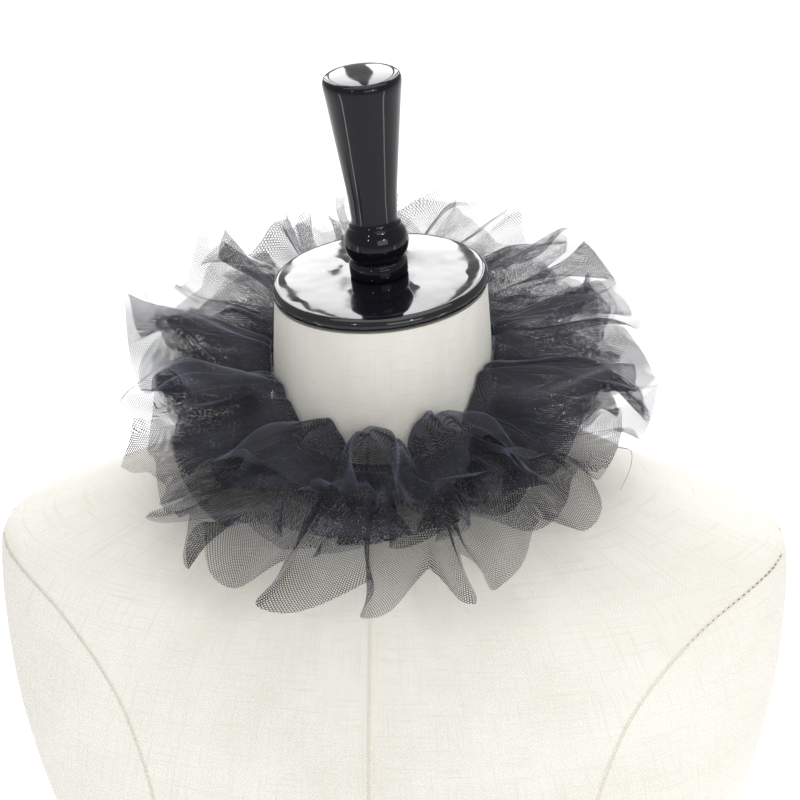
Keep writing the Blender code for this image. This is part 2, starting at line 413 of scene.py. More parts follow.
# Seams of the cover. Each is a narrow pressed seam with a welt on both sides of its groove.
# A seam's points are its distance from the middle and its height, in millimetres.
seamSettings = {
    # across the seam and up off the cover: its flanks, its two welts and the groove between them
    "profile": [(-0.0013, -0.0003), (-0.0006, 0.0005), (0.0, -0.00012), (0.0006, 0.0005), (0.0013, -0.0003)],
    "step": 0.004,
    "stitchCount": 22,
    "stitchStart": 0.003,
    "stitchPitch": 0.0036,
    "stitchSize": (0.0023, 0.00048, 0.00055),
    "stitchLift": 0.00008,
    "stitchFade": 0.6,  # how much smaller the last one is
}
centreLine = [(0, 545), (0, 470), (0, 360), (0, 215), (0, 4)]
seamRoutes = {
    "seamCentreFront": {"face": -1, "side": 1, "points": centreLine},
    "seamCentreBack": {"face": 1, "side": 1, "points": centreLine},
}
princessFront = [
    (201, 497), (184, 493), (163, 484), (143, 468), (128, 450), (119, 432), (112, 412), (106, 385),
    (102, 355), (99, 310), (94, 262), (90, 215), (94, 165), (101, 110), (106, 55), (107, 4),
]
princessBack = [
    (201, 498), (178, 490), (152, 474), (131, 452), (116, 425), (106, 392), (98, 350), (90, 300),
    (84, 250), (81, 215), (84, 165), (90, 110), (96, 55), (98, 4),
]
for side, word in ((-1, "Left"), (1, "Right")):
    seamRoutes["seamFront" + word] = {"face": -1, "side": side, "points": princessFront}
    seamRoutes["seamBack" + word] = {"face": 1, "side": side, "points": princessBack}


def smoothRoute(points, step):
    # a Catmull-Rom curve through the points, read about every step metres
    ends = [2 * points[0] - points[1]] + list(points) + [2 * points[-1] - points[-2]]
    route = []
    for a, b, c, d in zip(ends, ends[1:], ends[2:], ends[3:]):
        count = max(1, int((c - b).length / step))
        for place in range(count):
            t = place / count
            bend = (2 * a - 5 * b + 4 * c - d) * t**2
            twist = (3 * b - a - 3 * c + d) * t**3
            route.append(0.5 * (2 * b + (c - a) * t + bend + twist))
    route.append(points[-1])
    return route


def makeSeam(name, route, settings):
    line = [Vector((x / 1000 * route["side"], 0, z / 1000)) for x, z in route["points"]]
    face = route["face"]
    spots = []
    for point in smoothRoute(line, settings["step"]):
        # the cover's surface seen from the front (face -1) or the back (face 1)
        start = Vector((point.x, face * 0.4, point.z))
        found, place, normal, _ = bodyCover.ray_cast(start, Vector((0, -face, 0)))
        if found:
            spots.append((place, normal))
    profile = settings["profile"]
    points = []
    for place, (spot, normal) in enumerate(spots):
        before = spots[max(0, place - 1)][0]
        after = spots[min(len(spots) - 1, place + 1)][0]
        sideways = normal.cross(after - before).normalized()
        points += [spot + sideways * shift + normal * rise for shift, rise in profile]
    width = len(profile)
    faces = []
    for row in range(len(spots) - 1):
        for column in range(width - 1):
            first = row * width + column
            faces.append((first, first + width, first + width + 1, first + 1))
    seam = newPiece(name, points, faces, seamCloth)
    if sum(polygon.normal.y for polygon in seam.data.polygons) * face < 0:
        seam.data.flip_normals()
    mapRoundTheForm(seam, coverSettings["mapRadius"])
    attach(seam, "root")
    return spots


def boxesAlong(name, rows, material):
    # small rounded bars: each row is its middle, its way, its side, its out, and its length, width and rise
    points = []
    faces = []
    for middle, way, side, out, length, width, rise in rows:
        faces += tubeFaces(len(points), 4, 4)
        for end, taper in ((-0.5, 0.45), (-0.25, 1.0), (0.25, 1.0), (0.5, 0.45)):
            spot = middle + way * (end * length)
            for across, up in ((-0.5, 0.0), (-0.3, 1.0), (0.3, 1.0), (0.5, 0.0)):
                points.append(spot + side * (across * width * taper) + out * (up * rise * taper))
    piece = newPiece(name, points, faces, material)
    activate(piece)
    bpy.ops.object.mode_set(mode="EDIT")
    bpy.ops.mesh.select_all(action="SELECT")
    bpy.ops.mesh.normals_make_consistent(inside=False)
    bpy.ops.object.mode_set(mode="OBJECT")
    return piece


def makeStitches(name, spots, settings):
    # stitches that show where the seam nears the shoulder's end, shorter and shorter down the seam
    rows = []
    along = settings["stitchStart"]
    travelled = 0.0
    length, width, rise = settings["stitchSize"]
    for (before, normal), (after, _) in zip(spots, spots[1:]):
        step = (after - before).length
        while travelled + step > along and len(rows) < settings["stitchCount"]:
            way = (after - before).normalized()
            middle = before + way * (along - travelled) + normal * settings["stitchLift"]
            share = 1.0 - settings["stitchFade"] * len(rows) / settings["stitchCount"]
            side = normal.cross(way).normalized()
            rows.append((middle, way, side, normal, length * share, width * share, rise * share))
            along += settings["stitchPitch"]
        travelled += step
    stitches = boxesAlong(name, rows, stitchThread)
    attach(stitches, "root")


seamSpots = {name: makeSeam(name, route, seamSettings) for name, route in seamRoutes.items()}
makeStitches("stitchesFront", seamSpots["seamFrontRight"], seamSettings)
makeStitches("stitchesBack", seamSpots["seamBackRight"], seamSettings)
print("seams made")

# The turned pieces: the cap's disc and the handle on it, on the CAD's own lean.
capSettings = {
    "neckTop": 0.636,
    "lean": math.radians(3.0),
    "gap": 0.0003,
    "radius": 0.0537,
    "thickness": 0.0068,
    "rimStep": (0.0012, 0.00012),  # inwards and up
    "dome": 0.0010,
    "domeMiddle": 0.00088,
    "domeRadius": 0.020,
    "shoulderRise": 0.0006,
    "shoulderRadius": 0.0445,
    "rimSteps": 10,
    "sides": 96,
}
handleSettings = {
    "height": 0.103,
    "flatRadius": 0.009,
    "sides": 80,
    # share of the height, and radius in millimetres, foot to top
    "profile": [
        (0.000, 13.6), (0.004, 14.2), (0.012, 14.4), (0.062, 14.4), (0.070, 14.0), (0.078, 13.0),
        (0.085, 12.9), (0.092, 13.2), (0.105, 14.2), (0.125, 15.2), (0.148, 15.75), (0.170, 15.9),
        (0.192, 15.7), (0.215, 15.0), (0.235, 13.9), (0.248, 12.9), (0.256, 12.75), (0.264, 11.9),
        (0.275, 11.35), (0.290, 11.2), (0.400, 12.1), (0.650, 15.2), (0.900, 18.3), (0.940, 18.9),
        (0.955, 19.0), (0.972, 18.95), (0.985, 18.5), (0.992, 17.6), (0.9955, 15.0), (0.998, 12.0),
    ],
}


def turnedPiece(name, profile, sides, seat, coat):
    # a ring of points is drawn out along its profile, ring by ring, as on a lathe
    deselectAll()
    radius, height = profile[0]
    foot = (0, 0, height)
    bpy.ops.mesh.primitive_circle_add(vertices=sides, radius=radius, fill_type="NGON", location=foot)
    piece = bpy.context.object
    piece.name = name
    piece.data.name = name
    bpy.ops.object.transform_apply(location=True, rotation=False, scale=False)
    bpy.ops.object.mode_set(mode="EDIT")
    bpy.ops.mesh.select_all(action="SELECT")
    for nextRadius, nextHeight in profile[1:]:
        upwards = (0, 0, nextHeight - height)
        bpy.ops.mesh.extrude_region_move(TRANSFORM_OT_translate={"value": upwards})
        share = nextRadius / radius
        bpy.ops.transform.resize(value=(share, share, 1.0), center_override=(0, 0, nextHeight))
        radius, height = nextRadius, nextHeight
    bpy.ops.mesh.inset(thickness=radius * 0.6, depth=0)
    bpy.ops.mesh.select_all(action="SELECT")
    bpy.ops.mesh.normals_make_consistent(inside=False)
    bpy.ops.object.mode_set(mode="OBJECT")
    piece.data.transform(seat)
    bpy.ops.object.shade_smooth_by_angle(angle=math.radians(35))
    piece.data.materials.clear()
    piece.data.materials.append(coat)
    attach(piece, "root")
    return piece


def makeCap(settings, handle):
    seat = Matrix.Translation((0, 0, settings["neckTop"])) @ Matrix.Rotation(-settings["lean"], 4, "Y")
    edge = settings["thickness"] / 2
    base = settings["gap"]
    widest = settings["radius"]
    profile = [(widest - edge, base)]
    for step in range(1, settings["rimSteps"]):
        turn = math.pi * (step / settings["rimSteps"] - 0.5)
        profile.append((widest - edge * (1 - math.cos(turn)), base + edge + edge * math.sin(turn)))
    top = base + settings["thickness"]
    inwards, up = settings["rimStep"]
    profile.append((widest - edge, top))
    profile.append((widest - edge - inwards, top + up))
    profile.append((settings["shoulderRadius"], top + settings["shoulderRise"]))
    halfway = (settings["shoulderRadius"] + settings["domeRadius"]) / 2
    profile.append((halfway, top + settings["domeMiddle"]))
    profile.append((settings["domeRadius"], top + settings["dome"]))
    disc = turnedPiece("capDisc", profile, settings["sides"], seat, blackDisc)
    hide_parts("neck_cap")
    foot = top + settings["dome"] + settings["gap"]
    outline = [(radius / 1000, foot + share * handle["height"]) for share, radius in handle["profile"]]
    outline.append((handle["flatRadius"], foot + handle["height"]))
    knob = turnedPiece("capHandle", outline, handle["sides"], seat, blackHandle)
    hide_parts("cap_finial")


makeCap(capSettings, handleSettings)
print("cap and handle made")

# The ruff. Every strip is a doubled band of net: its fold stands round the neck, and its two halves go
# outwards. Shares of the way out are 0 at the fold and 1 at the raw edge.
ruff = {
    "ringHeight": 0.587,
    "ringTilt": math.radians(20.0),
    "neckFoot": (0.560, 0.0572),  # height and radius
    "neckTop": (0.636, 0.0527),
    "clearance": 0.0011,
    "droopShare": 0.45,
    "foldRadius": 0.0032,
    "foldShare": 0.045,
    "gathers": 128,
    "columns": 1640,
    "turningShare": 0.40,  # of the columns, those spent on sharp turns
    "outs": [0, 0.012, 0.026, 0.045, 0.07, 0.10, 0.135, 0.175, 0.22, 0.265, 0.31, 0.355, 0.40, 0.445,
             0.49, 0.535, 0.58, 0.625, 0.67, 0.715, 0.76, 0.805, 0.85, 0.895, 0.94, 0.985, 1.0],
    "overBody": 0.0016,
    "liftBelow": 0.006,
    "liftSoftness": 0.0012,
    "fineSteps": 420,
    "meanEdge": 0.122,
    "turnLength": 0.0006,
    "pleatDepth": (0.002, 0.0065),
    "fullnessSpread": 0.18,
    "sharpSpread": 0.3,
    "tipSpread": 0.045,
    "flapRise": 1.5,
    "edgeRise": 0.45,
    "flapTaper": 0.20,
    "opens": (0.42, 1.0),  # where on the way out the pleats fall open
    "turnsBy": 0.34,  # where on the way out the cloth has turned to its flute's own place
    "bow": 7.0,  # degrees by which a flute may sweep sideways on its way out
    "pointedFrom": 62.0,  # degrees from the front, past which the edge runs out in points
    "pointed": 0.12,
    "steepest": 0.50,
    "mapRow": 0.70,  # the share of the way out where the net is mapped true to size
    "crumple": 0.0030,
    "backAzimuth": (85.0, 145.0),
    # share of the net's cover kept behind the neck: a painted lightening that stands in for the backlight
    # washing the net out
    "backlitCover": 0.66,
    "backReach": 0.90,
    "trimMiddle": 26.0,  # degrees from the front, where the upper layers are shortest
    "trimSpan": (18.0, 62.0),
    "packed": (0.7, 1.2, 0.55),  # how many more threads the gathers at the neck hold, and how far out
    "creaseCover": 0.42,
    "foldCover": 0.3,
}

# The standing loops of the top strip, from the back round by -X, the front and +X: where each starts
# (degrees from the front), how high it stands at the neck (millimetres), which way it leans, how far it
# reaches as a share of the strip, how much its outer end drops (millimetres) and where its crest is (1 is
# the middle).
standingLoops = [
    (-180, 12, 0.0, 0.80, 0, 0.8), (-152, 13, -0.3, 0.86, 0, 1.3), (-124, 13, 0.2, 0.80, 2, 0.8),
    (-97, 15, -0.3, 0.92, 4, 1.2), (-70, 15, -0.9, 0.98, 9, 0.7), (-37, 14, -0.9, 0.72, 14, 1.5),
    (-12, 13, 0.3, 0.58, 17, 0.8), (17, 16, 0.6, 0.62, 16, 0.62), (47, 18, 0.9, 1.04, 12, 1.25),
    (80, 16, 0.4, 0.86, 5, 0.8), (113, 13, -0.2, 0.88, 1, 1.3), (147, 13, 0.3, 0.78, 0, 0.8),
]

# The strips. A half's flutes start at the azimuths listed (degrees from the front): wide ones are lobes or
# humps, and those under "narrow" between them are flaps folded the other way. fullness is cloth over width,
# flat scales the flutes' height, and crest is 1 where the wide flutes stand up and -1 where they hang.
# lies says how far the strip reaches from the neck (millimetres) and how its edge lies to the level
# (degrees), at eight azimuths from the front round by +X, as the CAD strips do.
plainHalf = {
    "crest": 1, "pleatShare": 0.75, "loopShare": 0.0, "gatherSwing": 0.0009, "gatherReach": 0.7,
    "rounding": 0.09, "narrow": 14.5, "flapEdge": 1.5,
}
strips = [
    {
        "name": "ruffleTop", "node": "ruffle_top", "lift": 0.0064, "loops": True, "seed": 11,
        "lies": [(60, 4), (66, 7), (76, 13), (76, 15), (78, 15), (72, 15), (72, 12), (64, 6)],
        "upper": dict(
            plainHalf,
            starts=[-180, -170, -159, -148, -138, -126, -106, -95, -70, -37, -12, 17, 47, 66, 78, 89,
                    101, 110, 121, 131, 143, 152, 166],
            fullness=2.15, flapFullness=2.6, sharp=0.8, flat=0.52, lean=0.8, reach=1.0,
            rise=0.001, pleatShare=0.6, cover=0.35, loopShare=1.0, gatherSwing=0.0004,
            frontTrim=0.0, rounding=0.02, gatherReach=0.42, flapEdge=2.6,
        ),
        "lower": dict(
            plainHalf,
            starts=[-172, -160, -141, -130, -112, -101, -84, -73, -55, -44, -27, -17, -2, 8, 24, 33,
                    52, 62, 80, 92, 112, 123, 143, 155],
            fullness=1.7, flapFullness=3.0, sharp=1.3, flat=0.46, lean=0.5, reach=0.76,
            rise=-0.003, cover=0.34, loopShare=0.35, gatherSwing=0.0006, frontTrim=0.06,
            gatherReach=0.6,
        ),
    },
    {
        "name": "ruffleMiddle", "node": "ruffle_middle", "lift": 0.001, "loops": False, "seed": 23,
        "lies": [(68, -9), (74, -6), (82, 1), (76, 3), (74, 3), (73, 3), (73, 1), (69, -6)],
        "upper": dict(
            plainHalf,
            starts=[-176, -166, -150, -139, -121, -112, -93, -82, -64, -55, -38, -29, -12, -4, 14, 24,
                    38, 50, 66, 76, 95, 104, 121, 131, 150, 161],
            fullness=1.8, flapFullness=3.1, sharp=1.5, flat=0.46, lean=0.6, reach=0.72,
            rise=0.002, pleatShare=0.6, cover=0.34, gatherSwing=0.0006, frontTrim=0.14,
        ),
        "lower": dict(
            plainHalf,
            starts=[-168, -146, -136, -115, -104, -86, -74, -52, -43, -22, -13, 6, 15, 29, 38, 60,
                    70, 88, 99, 118, 128, 148, 159],
            fullness=1.6, flapFullness=2.9, sharp=1.2, flat=0.44, lean=0.6, reach=0.97,
            rise=-0.002, cover=0.33, frontTrim=0.25, crest=-1,
        ),
    },
    {
        "name": "ruffleUnder", "node": "ruffle_under", "lift": -0.0034, "loops": False, "seed": 37,
        "lies": [(73, -22), (70, -18), (70, -11), (67, -9), (65, -9), (66, -9), (67, -10), (71, -20)],
        "upper": dict(
            plainHalf,
            starts=[-174, -153, -142, -123, -110, -92, -80, -60, -51, -33, -24, -10, 1, 18, 26, 46,
                    55, 72, 83, 104, 115, 134, 147, 168],
            fullness=1.6, flapFullness=2.8, sharp=1.5, flat=0.36, lean=0.7, reach=0.68,
            rise=0.003, cover=0.36, frontTrim=0.20, crest=-1,
        ),
        "lower": dict(
            plainHalf,
            starts=[-160, -138, -118, -100, -82, -66, -49, -31, -18, 0, 17, 25, 50, 67, 84, 104, 122,
                    140, 160, 180],
            fullness=1.6, flapFullness=1.6, sharp=0.9, flat=0.30, lean=0.5, reach=0.85,
            rise=-0.001, pleatShare=0.85, cover=0.36, gatherSwing=0.0011, frontTrim=0.0,
            rounding=0.30, narrow=0.0, crest=-1,
        ),
    },
]
# what a half's line holds at each point, besides its share of the cloth
lineKeys = (
    "pleatedTurn", "pleatedHeight", "pleatedBend", "openTurn", "openHeight", "openBend", "rounding",
)


def neckRadius(height):
    footHeight, footRadius = ruff["neckFoot"]
    topHeight, topRadius = ruff["neckTop"]
    return footRadius + (height - footHeight) / (topHeight - footHeight) * (topRadius - footRadius)


def easedRows(rows, turn):
    # a table of evenly spaced azimuths, read at any turn and eased between its rows
    table = np.array(rows, float)
    place = (np.degrees(turn) % 360) / (360 / len(table))
    first = table[place.astype(int) % len(table)]
    second = table[(place.astype(int) + 1) % len(table)]
    share = (0.5 - 0.5 * np.cos(np.pi * (place - np.floor(place))))[:, None]
    return first + share * (second - first)


def smoothStep(low, high, value):
    t = np.clip((value - low) / (high - low), 0.0, 1.0)
    return t * t * (3 - 2 * t)


def swingFor(shape, pleats, fullness):
    # how far the cloth's direction swings for a flute to take up fullness times as much cloth as its width
    low, high = 0.45, math.radians(122)
    for _ in range(22):
        middle = (low + high) / 2
        if np.cos(middle * shape + pleats).mean() > 1 / fullness:
            low = middle
        else:
            high = middle
    return low


def layFlutes(half, seed):
    # A gathered edge bends like ribbon candy: its direction swings to and fro along the cloth. A knife
    # pleat turns it right back on itself for a little way. Adding up the directions gives the edge's line.
    chance = np.random.default_rng(seed)
    starts = np.radians(np.array(half["starts"] + [half["starts"][0] + 360], float))
    widths = np.diff(starts)
    count = len(widths)
    narrow = widths < math.radians(half["narrow"])
    fullness = np.where(narrow, half["flapFullness"], half["fullness"])
    fullness = 1 + (fullness - 1) * np.clip(1 + chance.normal(0, ruff["fullnessSpread"], count), 0.6, 1.4)
    crests = np.where(narrow, -half["crest"], half["crest"])
    # towards the edge a closing flap narrows and the lobes beside it meet over it
    closing = np.where(narrow & (half["flapEdge"] < 2), ruff["flapTaper"], 0.0) * widths
    edgeStarts = starts.copy()
    edgeStarts[:-1] += closing
    edgeStarts[1:-1] -= closing[:-1]
    edgeStarts[0] -= closing[-1]
    edgeStarts[-1] = edgeStarts[0] + 2 * math.pi
    edgeWidths = np.diff(edgeStarts)
    cloth = widths * fullness
    bounds = np.concatenate([[0.0], np.cumsum(cloth)]) / cloth.sum()
    fine = (np.arange(ruff["fineSteps"]) + 0.5) / ruff["fineSteps"]
    grid = np.linspace(0, 1, ruff["fineSteps"] + 1)
    line = {key: [] for key in ("share", *lineKeys)}
    for flute in range(count):
        length = cloth[flute] * ruff["meanEdge"]
        sharp = half["sharp"] * math.exp(chance.normal(0, ruff["sharpSpread"]))
        shape = crests[flute] * np.tanh(sharp * np.sin(2 * np.pi * fine)) / math.tanh(sharp)
        pleats = np.zeros(len(fine))
        soft = ruff["turnLength"] / length
        if chance.random() < half["pleatShare"]:
            depth = chance.uniform(*ruff["pleatDepth"]) / length
            middle = chance.choice([chance.uniform(0.03, 0.10), chance.uniform(0.86, 0.93)])
            turned = np.tanh((fine - middle) / soft) - np.tanh((fine - middle - depth) / soft)
            pleats += chance.choice([-1, 1]) * 0.485 * math.pi * turned
        line["share"].append((bounds[flute] + grid * (bounds[flute + 1] - bounds[flute]))[:-1])
        edgeFullness = min(half["flapEdge"], fullness[flute]) if narrow[flute] else fullness[flute]
        ways = [
            ("pleated", pleats, fullness[flute], starts[flute], widths[flute]),
            ("open", 0 * pleats, edgeFullness, edgeStarts[flute], edgeWidths[flute]),
        ]
        for word, turned, full, begin, wide in ways:
            angle = swingFor(shape, turned, full) * shape + turned
            across = np.concatenate([[0.0], np.cumsum(np.cos(angle))])
            rise = np.concatenate([[0.0], np.cumsum(np.sin(angle))]) / across[-1]
            lifted = ruff["flapRise"] if narrow[flute] else 1.0
            if word == "open" and edgeFullness < fullness[flute]:
                lifted = ruff["edgeRise"]
            rise = (rise - rise[-1] * grid) * lifted
            line[word + "Turn"].append((begin + wide * across / across[-1])[:-1])
            line[word + "Height"].append((rise * wide)[:-1])
            bend = np.concatenate([[0.0], np.abs(np.diff(angle)), [0.0]]) * soft * ruff["fineSteps"]
            line[word + "Bend"].append(bend[:-1])
        rounding = half["rounding"] * (0.4 if narrow[flute] else 1.0) * (np.sin(np.pi * grid) - 0.5)
        if narrow[flute] or abs(starts[flute]) > math.radians(ruff["pointedFrom"]):
            rounding = ruff["pointed"] * (0.5 - np.abs(2 * grid - 1))
        line["rounding"].append(rounding[:-1])
    line = {key: np.concatenate(parts) for key, parts in line.items()}
    lasts = {"share": 1.0, "pleatedTurn": starts[-1], "openTurn": edgeStarts[-1]}
    for key in line:
        line[key] = np.append(line[key], lasts.get(key, line[key][0]))
        if "Height" in key and not half["loopShare"]:
            line[key] -= line[key].mean()
    line["starts"] = starts
    line["bounds"] = bounds
    line["knots"] = np.interp(np.arange(2 * count + 1) / 2, np.arange(count + 1), bounds)
    line["tips"] = chance.normal(0, ruff["tipSpread"], 2 * count + 1)
    line["bows"] = np.radians(ruff["bow"]) * chance.normal(0, 1.0, 2 * count + 1)
    for key in ("tips", "bows"):
        line[key][-1] = line[key][0]
    return line


def loopShape(turn):
    # height, lean, reach share and drop of the standing loops at a turn
    starts = np.radians([row[0] for row in standingLoops] + [standingLoops[0][0] + 360])
    table = np.array([row[1:] for row in standingLoops], float)
    place = (turn - starts[0]) % (2 * np.pi) + starts[0]
    index = np.clip(np.searchsorted(starts, place, side="right") - 1, 0, len(table) - 1)
    local = (place - starts[index]) / (starts[index + 1] - starts[index])
    crested = np.clip(local, 0, 1) ** table[index, 4]
    dome = np.sin(np.pi * crested) ** 0.62 * (1 + 0.07 * np.sin(31 * turn) + 0.05 * np.sin(53 * turn + 1))
    after = table[(index + 1) % len(table)]
    before = table[index - 1]
    towards = np.clip(local - 0.5, 0, 0.5)[:, None]
    back = np.clip(0.5 - local, 0, 0.5)[:, None]
    eased = table[index] * (1 - towards - back) + after * towards + before * back
    return table[index, 0] / 1000 * dome, eased[:, 1] * dome, eased[:, 2], eased[:, 3] / 1000


def readLine(line, base):
    # a half's own line, read at the azimuths of the fold
    start = line["starts"][0]
    wrapped = (base - start) % (2 * np.pi) + start
    laps = base - wrapped
    share = np.interp(wrapped, line["starts"], line["bounds"])
    read = {}
    for key in lineKeys:
        read[key] = np.interp(share, line["share"], line[key])
    read["pleatedTurn"] += laps
    read["openTurn"] += laps
    read["tips"] = np.interp(share, line["knots"], line["tips"]) + read["rounding"]
    read["bows"] = np.interp(share, line["knots"], line["bows"])
    read["share"] = share + laps / (2 * np.pi)
    return read


def halfStrip(strip, half, upward, line, base):
    # points of one half of the strip, row by row from the fold outwards, with the net's cover at each
    read = readLine(line, base)
    phase = strip["seed"] * 0.37
    lean = half["lean"] * np.sin(2 * base + phase) + 0.25 * np.sin(5 * base + 2 * phase)
    lie = easedRows(strip["lies"], read["openTurn"])
    slope = np.radians(lie[:, 1])
    low, high = (math.radians(value) for value in ruff["backAzimuth"])
    behind = smoothStep(low, high, np.abs(base))
    width = lie[:, 0] / 1000 / np.cos(slope) * half["reach"] * (1.0 + read["tips"])
    low, high = (math.radians(value) for value in ruff["trimSpan"])
    before = 1 - smoothStep(low, high, np.abs(base - math.radians(ruff["trimMiddle"])))
    width = width * (1 - (1 - ruff["backReach"]) * behind - half["frontTrim"] * before)
    tilted = ruff["neckFoot"][1] * math.tan(ruff["ringTilt"]) * np.cos(base)
    rootZ = ruff["ringHeight"] - tilted + strip["lift"]
    loopRise, loopLean, loopDrop = (np.zeros(len(base)) for _ in range(3))
    if strip["loops"]:
        loopRise, loopLean, loopReach, loopDrop = loopShape(base)
        if upward > 0:
            width = width * loopReach
    wobble = np.sin(2 * np.pi * ruff["gathers"] * read["share"] + 1.7 * np.sin(9 * base + phase))
    gatherLengths = 0.75 + 0.35 * np.sin(23 * base + phase) + 0.2 * np.sin(41 * base - phase)
    # the net is made thinner behind the neck as painted light, for the backlight that washes it out there
    thin = half["cover"] * (1 - (1 - ruff["backlitCover"]) * behind)
    atRoot, beyondFold, packedUntil = ruff["packed"]
    rows = []
    covers = []
    for out in ruff["outs"]:
        roll = min(1.0, out / ruff["foldShare"])
        foldOut = ruff["foldRadius"] * (1 - math.cos(roll * math.pi / 2))
        foldUp = upward * ruff["foldRadius"] * math.sin(roll * math.pi / 2)
        opened = smoothStep(*ruff["opens"], out)
        fluted = read["pleatedTurn"] + (read["openTurn"] - read["pleatedTurn"]) * opened
        flute = read["pleatedHeight"] + (read["openHeight"] - read["pleatedHeight"]) * opened
        bend = read["pleatedBend"] + (read["openBend"] - read["pleatedBend"]) * opened
        turn = base + (fluted - base) * smoothStep(0.0, ruff["turnsBy"], out)
        reachOut = width * out
        around = neckRadius(rootZ) + reachOut
        swing = around * flute * half["flat"] * (0.05 + 0.95 * out) * min(1.0, out * 10)
        fade = np.clip(1 - out / (half["gatherReach"] * gatherLengths), 0, 1) ** 1.3
        fade = fade * smoothStep(0.05, 0.16, out)
        fine = half["gatherSwing"] * fade * wobble
        droop = (1 - ruff["droopShare"]) * out + ruff["droopShare"] * out**2
        keep = 1.0 - (1.0 - half["loopShare"]) * smoothStep(0.0, 0.35, out)
        standing = loopRise * keep * (1.0 + 0.35 * out - 0.6 * out**2)
        rise = width * np.sin(slope) * droop + half["rise"] * smoothStep(0.0, 0.5, out) + swing
        rise = rise - loopDrop * out**2.2 * (upward > 0)
        crumpled = np.sin(11 * fluted + 5 * out + phase) + 0.7 * np.sin(19 * fluted - 8 * out + 2 * phase)
        rise = rise + ruff["crumple"] * out**1.5 * crumpled
        steep = np.clip(np.abs(rise) * 0.85 / np.maximum(reachOut, 1e-6), 0, 0.9)
        neck = neckRadius(rootZ + loopRise) + ruff["clearance"]
        radius = neck + foldOut + reachOut * np.sqrt(1 - steep**2)
        turn = turn + (lean * swing + loopLean * loopRise * out * 1.4) / radius + read["bows"] * out**1.8
        turn = turn + 0.018 * out * np.sin(13 * fluted + 6 * out + 1.9 * phase)
        z = rootZ + standing + foldUp + rise + fine
        rows.append(np.stack([radius * np.sin(turn), -radius * np.cos(turn), z], axis=1))
        packed = atRoot + beyondFold * smoothStep(0.06, 0.14, out)
        packed = 1 + packed * max(0.0, 1 - out / packedUntil) ** 1.5
        cover = 1 - (1 - thin) ** packed
        cover = cover + ruff["creaseCover"] * np.clip(bend, 0, 1) * smoothStep(0.1, 0.4, out)
        cover = cover + (ruff["foldCover"] if out == 0 and strip["loops"] else 0.0)
        covers.append(np.clip(cover, 0.0, 0.95))
    return rows, covers, width


def chooseColumns(lines):
    # azimuths of the fold, closest where either half of the strip turns sharply
    grid = np.linspace(-np.pi, np.pi, 26001)
    turning = np.zeros(len(grid))
    spread = np.zeros(len(grid))
    for line in lines:
        read = readLine(line, grid)
        step = np.gradient(read["share"])
        turning += read["pleatedBend"] * step
        spread += step
    density = ruff["turningShare"] * turning / turning.sum()
    density += (1 - ruff["turningShare"]) * spread / spread.sum()
    total = np.concatenate([[0.0], np.cumsum(density)[:-1]])
    return np.interp(np.linspace(0, total[-1], ruff["columns"] + 1), total, grid)


def liftOffTheBody(points):
    ground = np.full(len(points), -1.0)
    for place, (x, y, _) in enumerate(points):
        found, spot, _, _ = bodyCover.ray_cast(Vector((x, y, 0.8)), Vector((0, 0, -1)))
        if found:
            ground[place] = spot.z
    ground = ground + ruff["overBody"]
    over = points[:, 2] - ground
    away = np.hypot(points[:, 0], points[:, 1]) > neckRadius(points[:, 2]) + 0.004
    soft = ruff["liftSoftness"]
    softened = ground + np.logaddexp(0, over / soft) * soft
    points[:, 2] = np.where(away & (over < ruff["liftBelow"]), softened, points[:, 2])


def clothMesh(name, points, faces, uv, cover):
    # a mesh with its cloth map (one pair of numbers per corner) and the net's threshold
    piece = newPiece(name, points.tolist(), faces.tolist(), blackNet)
    layer = piece.data.uv_layers.new(name="clothMap")
    layer.data.foreach_set("uv", uv.astype(np.float32).ravel())
    threshold = np.interp(cover, coverTable["cover"], coverTable["threshold"])
    attribute = piece.data.attributes.new("netThreshold", "FLOAT", "POINT")
    attribute.data.foreach_set("value", threshold.astype(np.float32))
    return piece


def alongRow(row):
    # metres of cloth from a row's first point to each of its points
    return np.concatenate([[0.0], np.cumsum(np.linalg.norm(np.diff(row, axis=0), axis=1))])


